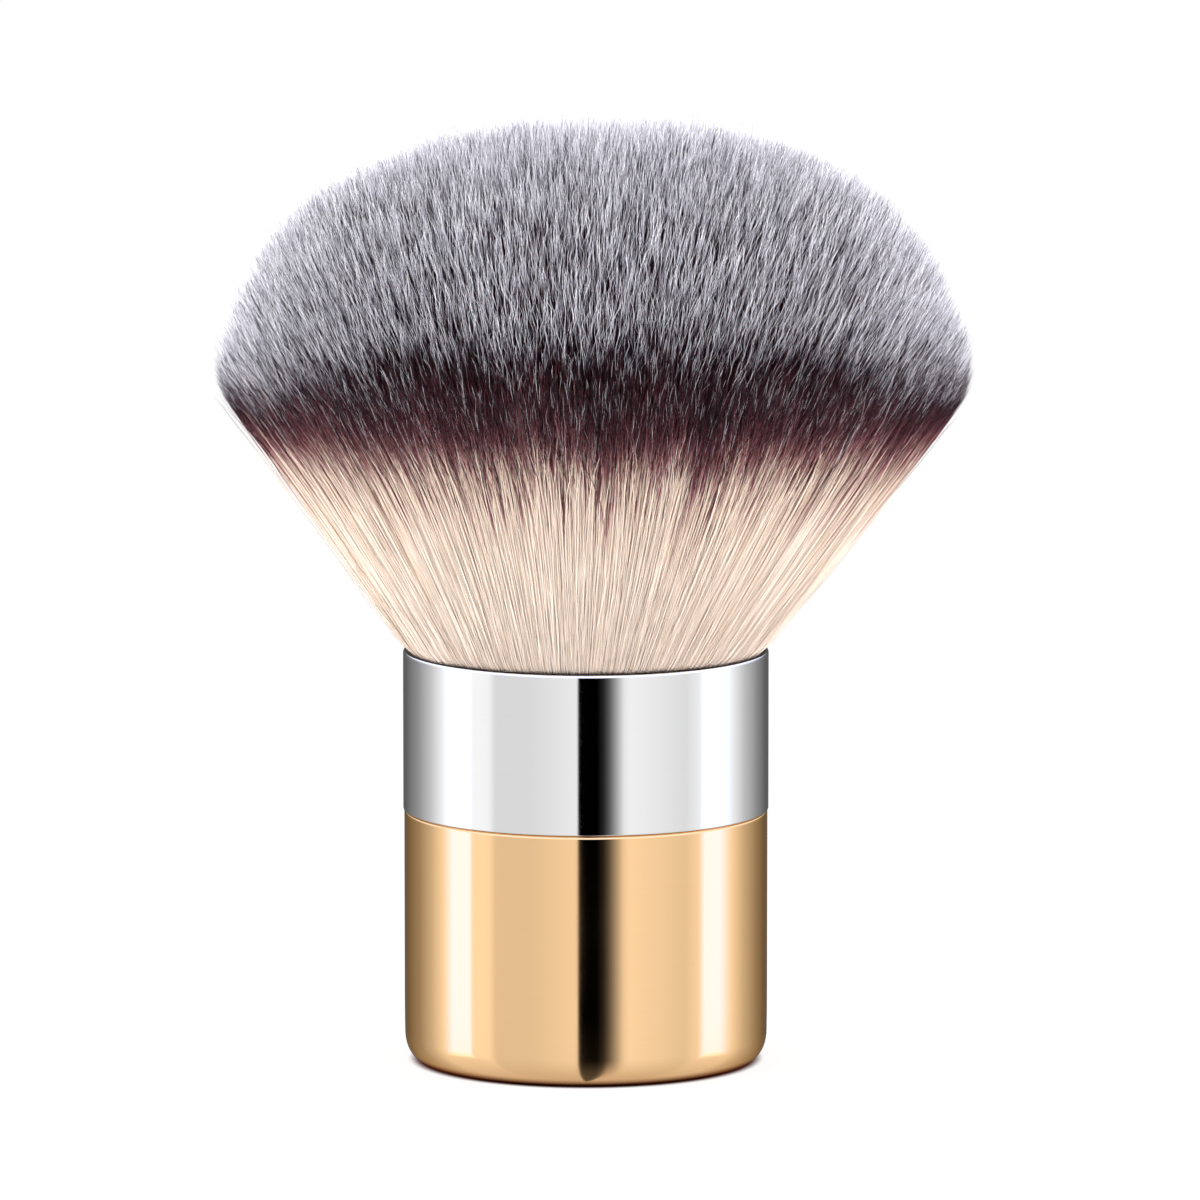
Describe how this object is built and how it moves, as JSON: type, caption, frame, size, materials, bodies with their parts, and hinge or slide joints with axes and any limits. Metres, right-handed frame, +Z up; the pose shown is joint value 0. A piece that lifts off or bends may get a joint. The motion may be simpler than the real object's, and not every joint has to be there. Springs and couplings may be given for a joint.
{
  "type": "makeup brush",
  "caption": "Short wide makeup brush: a dense flared tuft with a domed top, held in a polished metal ferrule on a weighted gold-coloured cup that it stands on.",
  "frame": {"origin": "centre of the flat underside of the cup, on the surface that the brush stands on", "axes": "+Z up along the handle's axis towards the bristle tips, -Y towards the viewer of the reference view, +X to that viewer's right, which is the way the tuft leans a little"},
  "size_m": [0.0741, 0.0742, 0.0943],
  "materials": {
    "gold_anodised_aluminium": "polished",
    "polished_aluminium": "polished",
    "zinc_plated_steel": "satin",
    "black_foam": "matte",
    "white_moulded_plastic": "satin",
    "cream_thread": "matte",
    "bristle_filament": "matte"
  },
  "bodies": {
    "root": {"base_cup": "gold_anodised_aluminium", "ferrule": "polished_aluminium", "floor_pad": "black_foam", "base_weight": "zinc_plated_steel", "handle_core": "white_moulded_plastic", "tuft_cup": "white_moulded_plastic", "tuft_binding": "cream_thread", "bristles_core": "bristle_filament", "bristles_middle": "bristle_filament", "bristles_outer": "bristle_filament"}
  },
  "joints": []
}
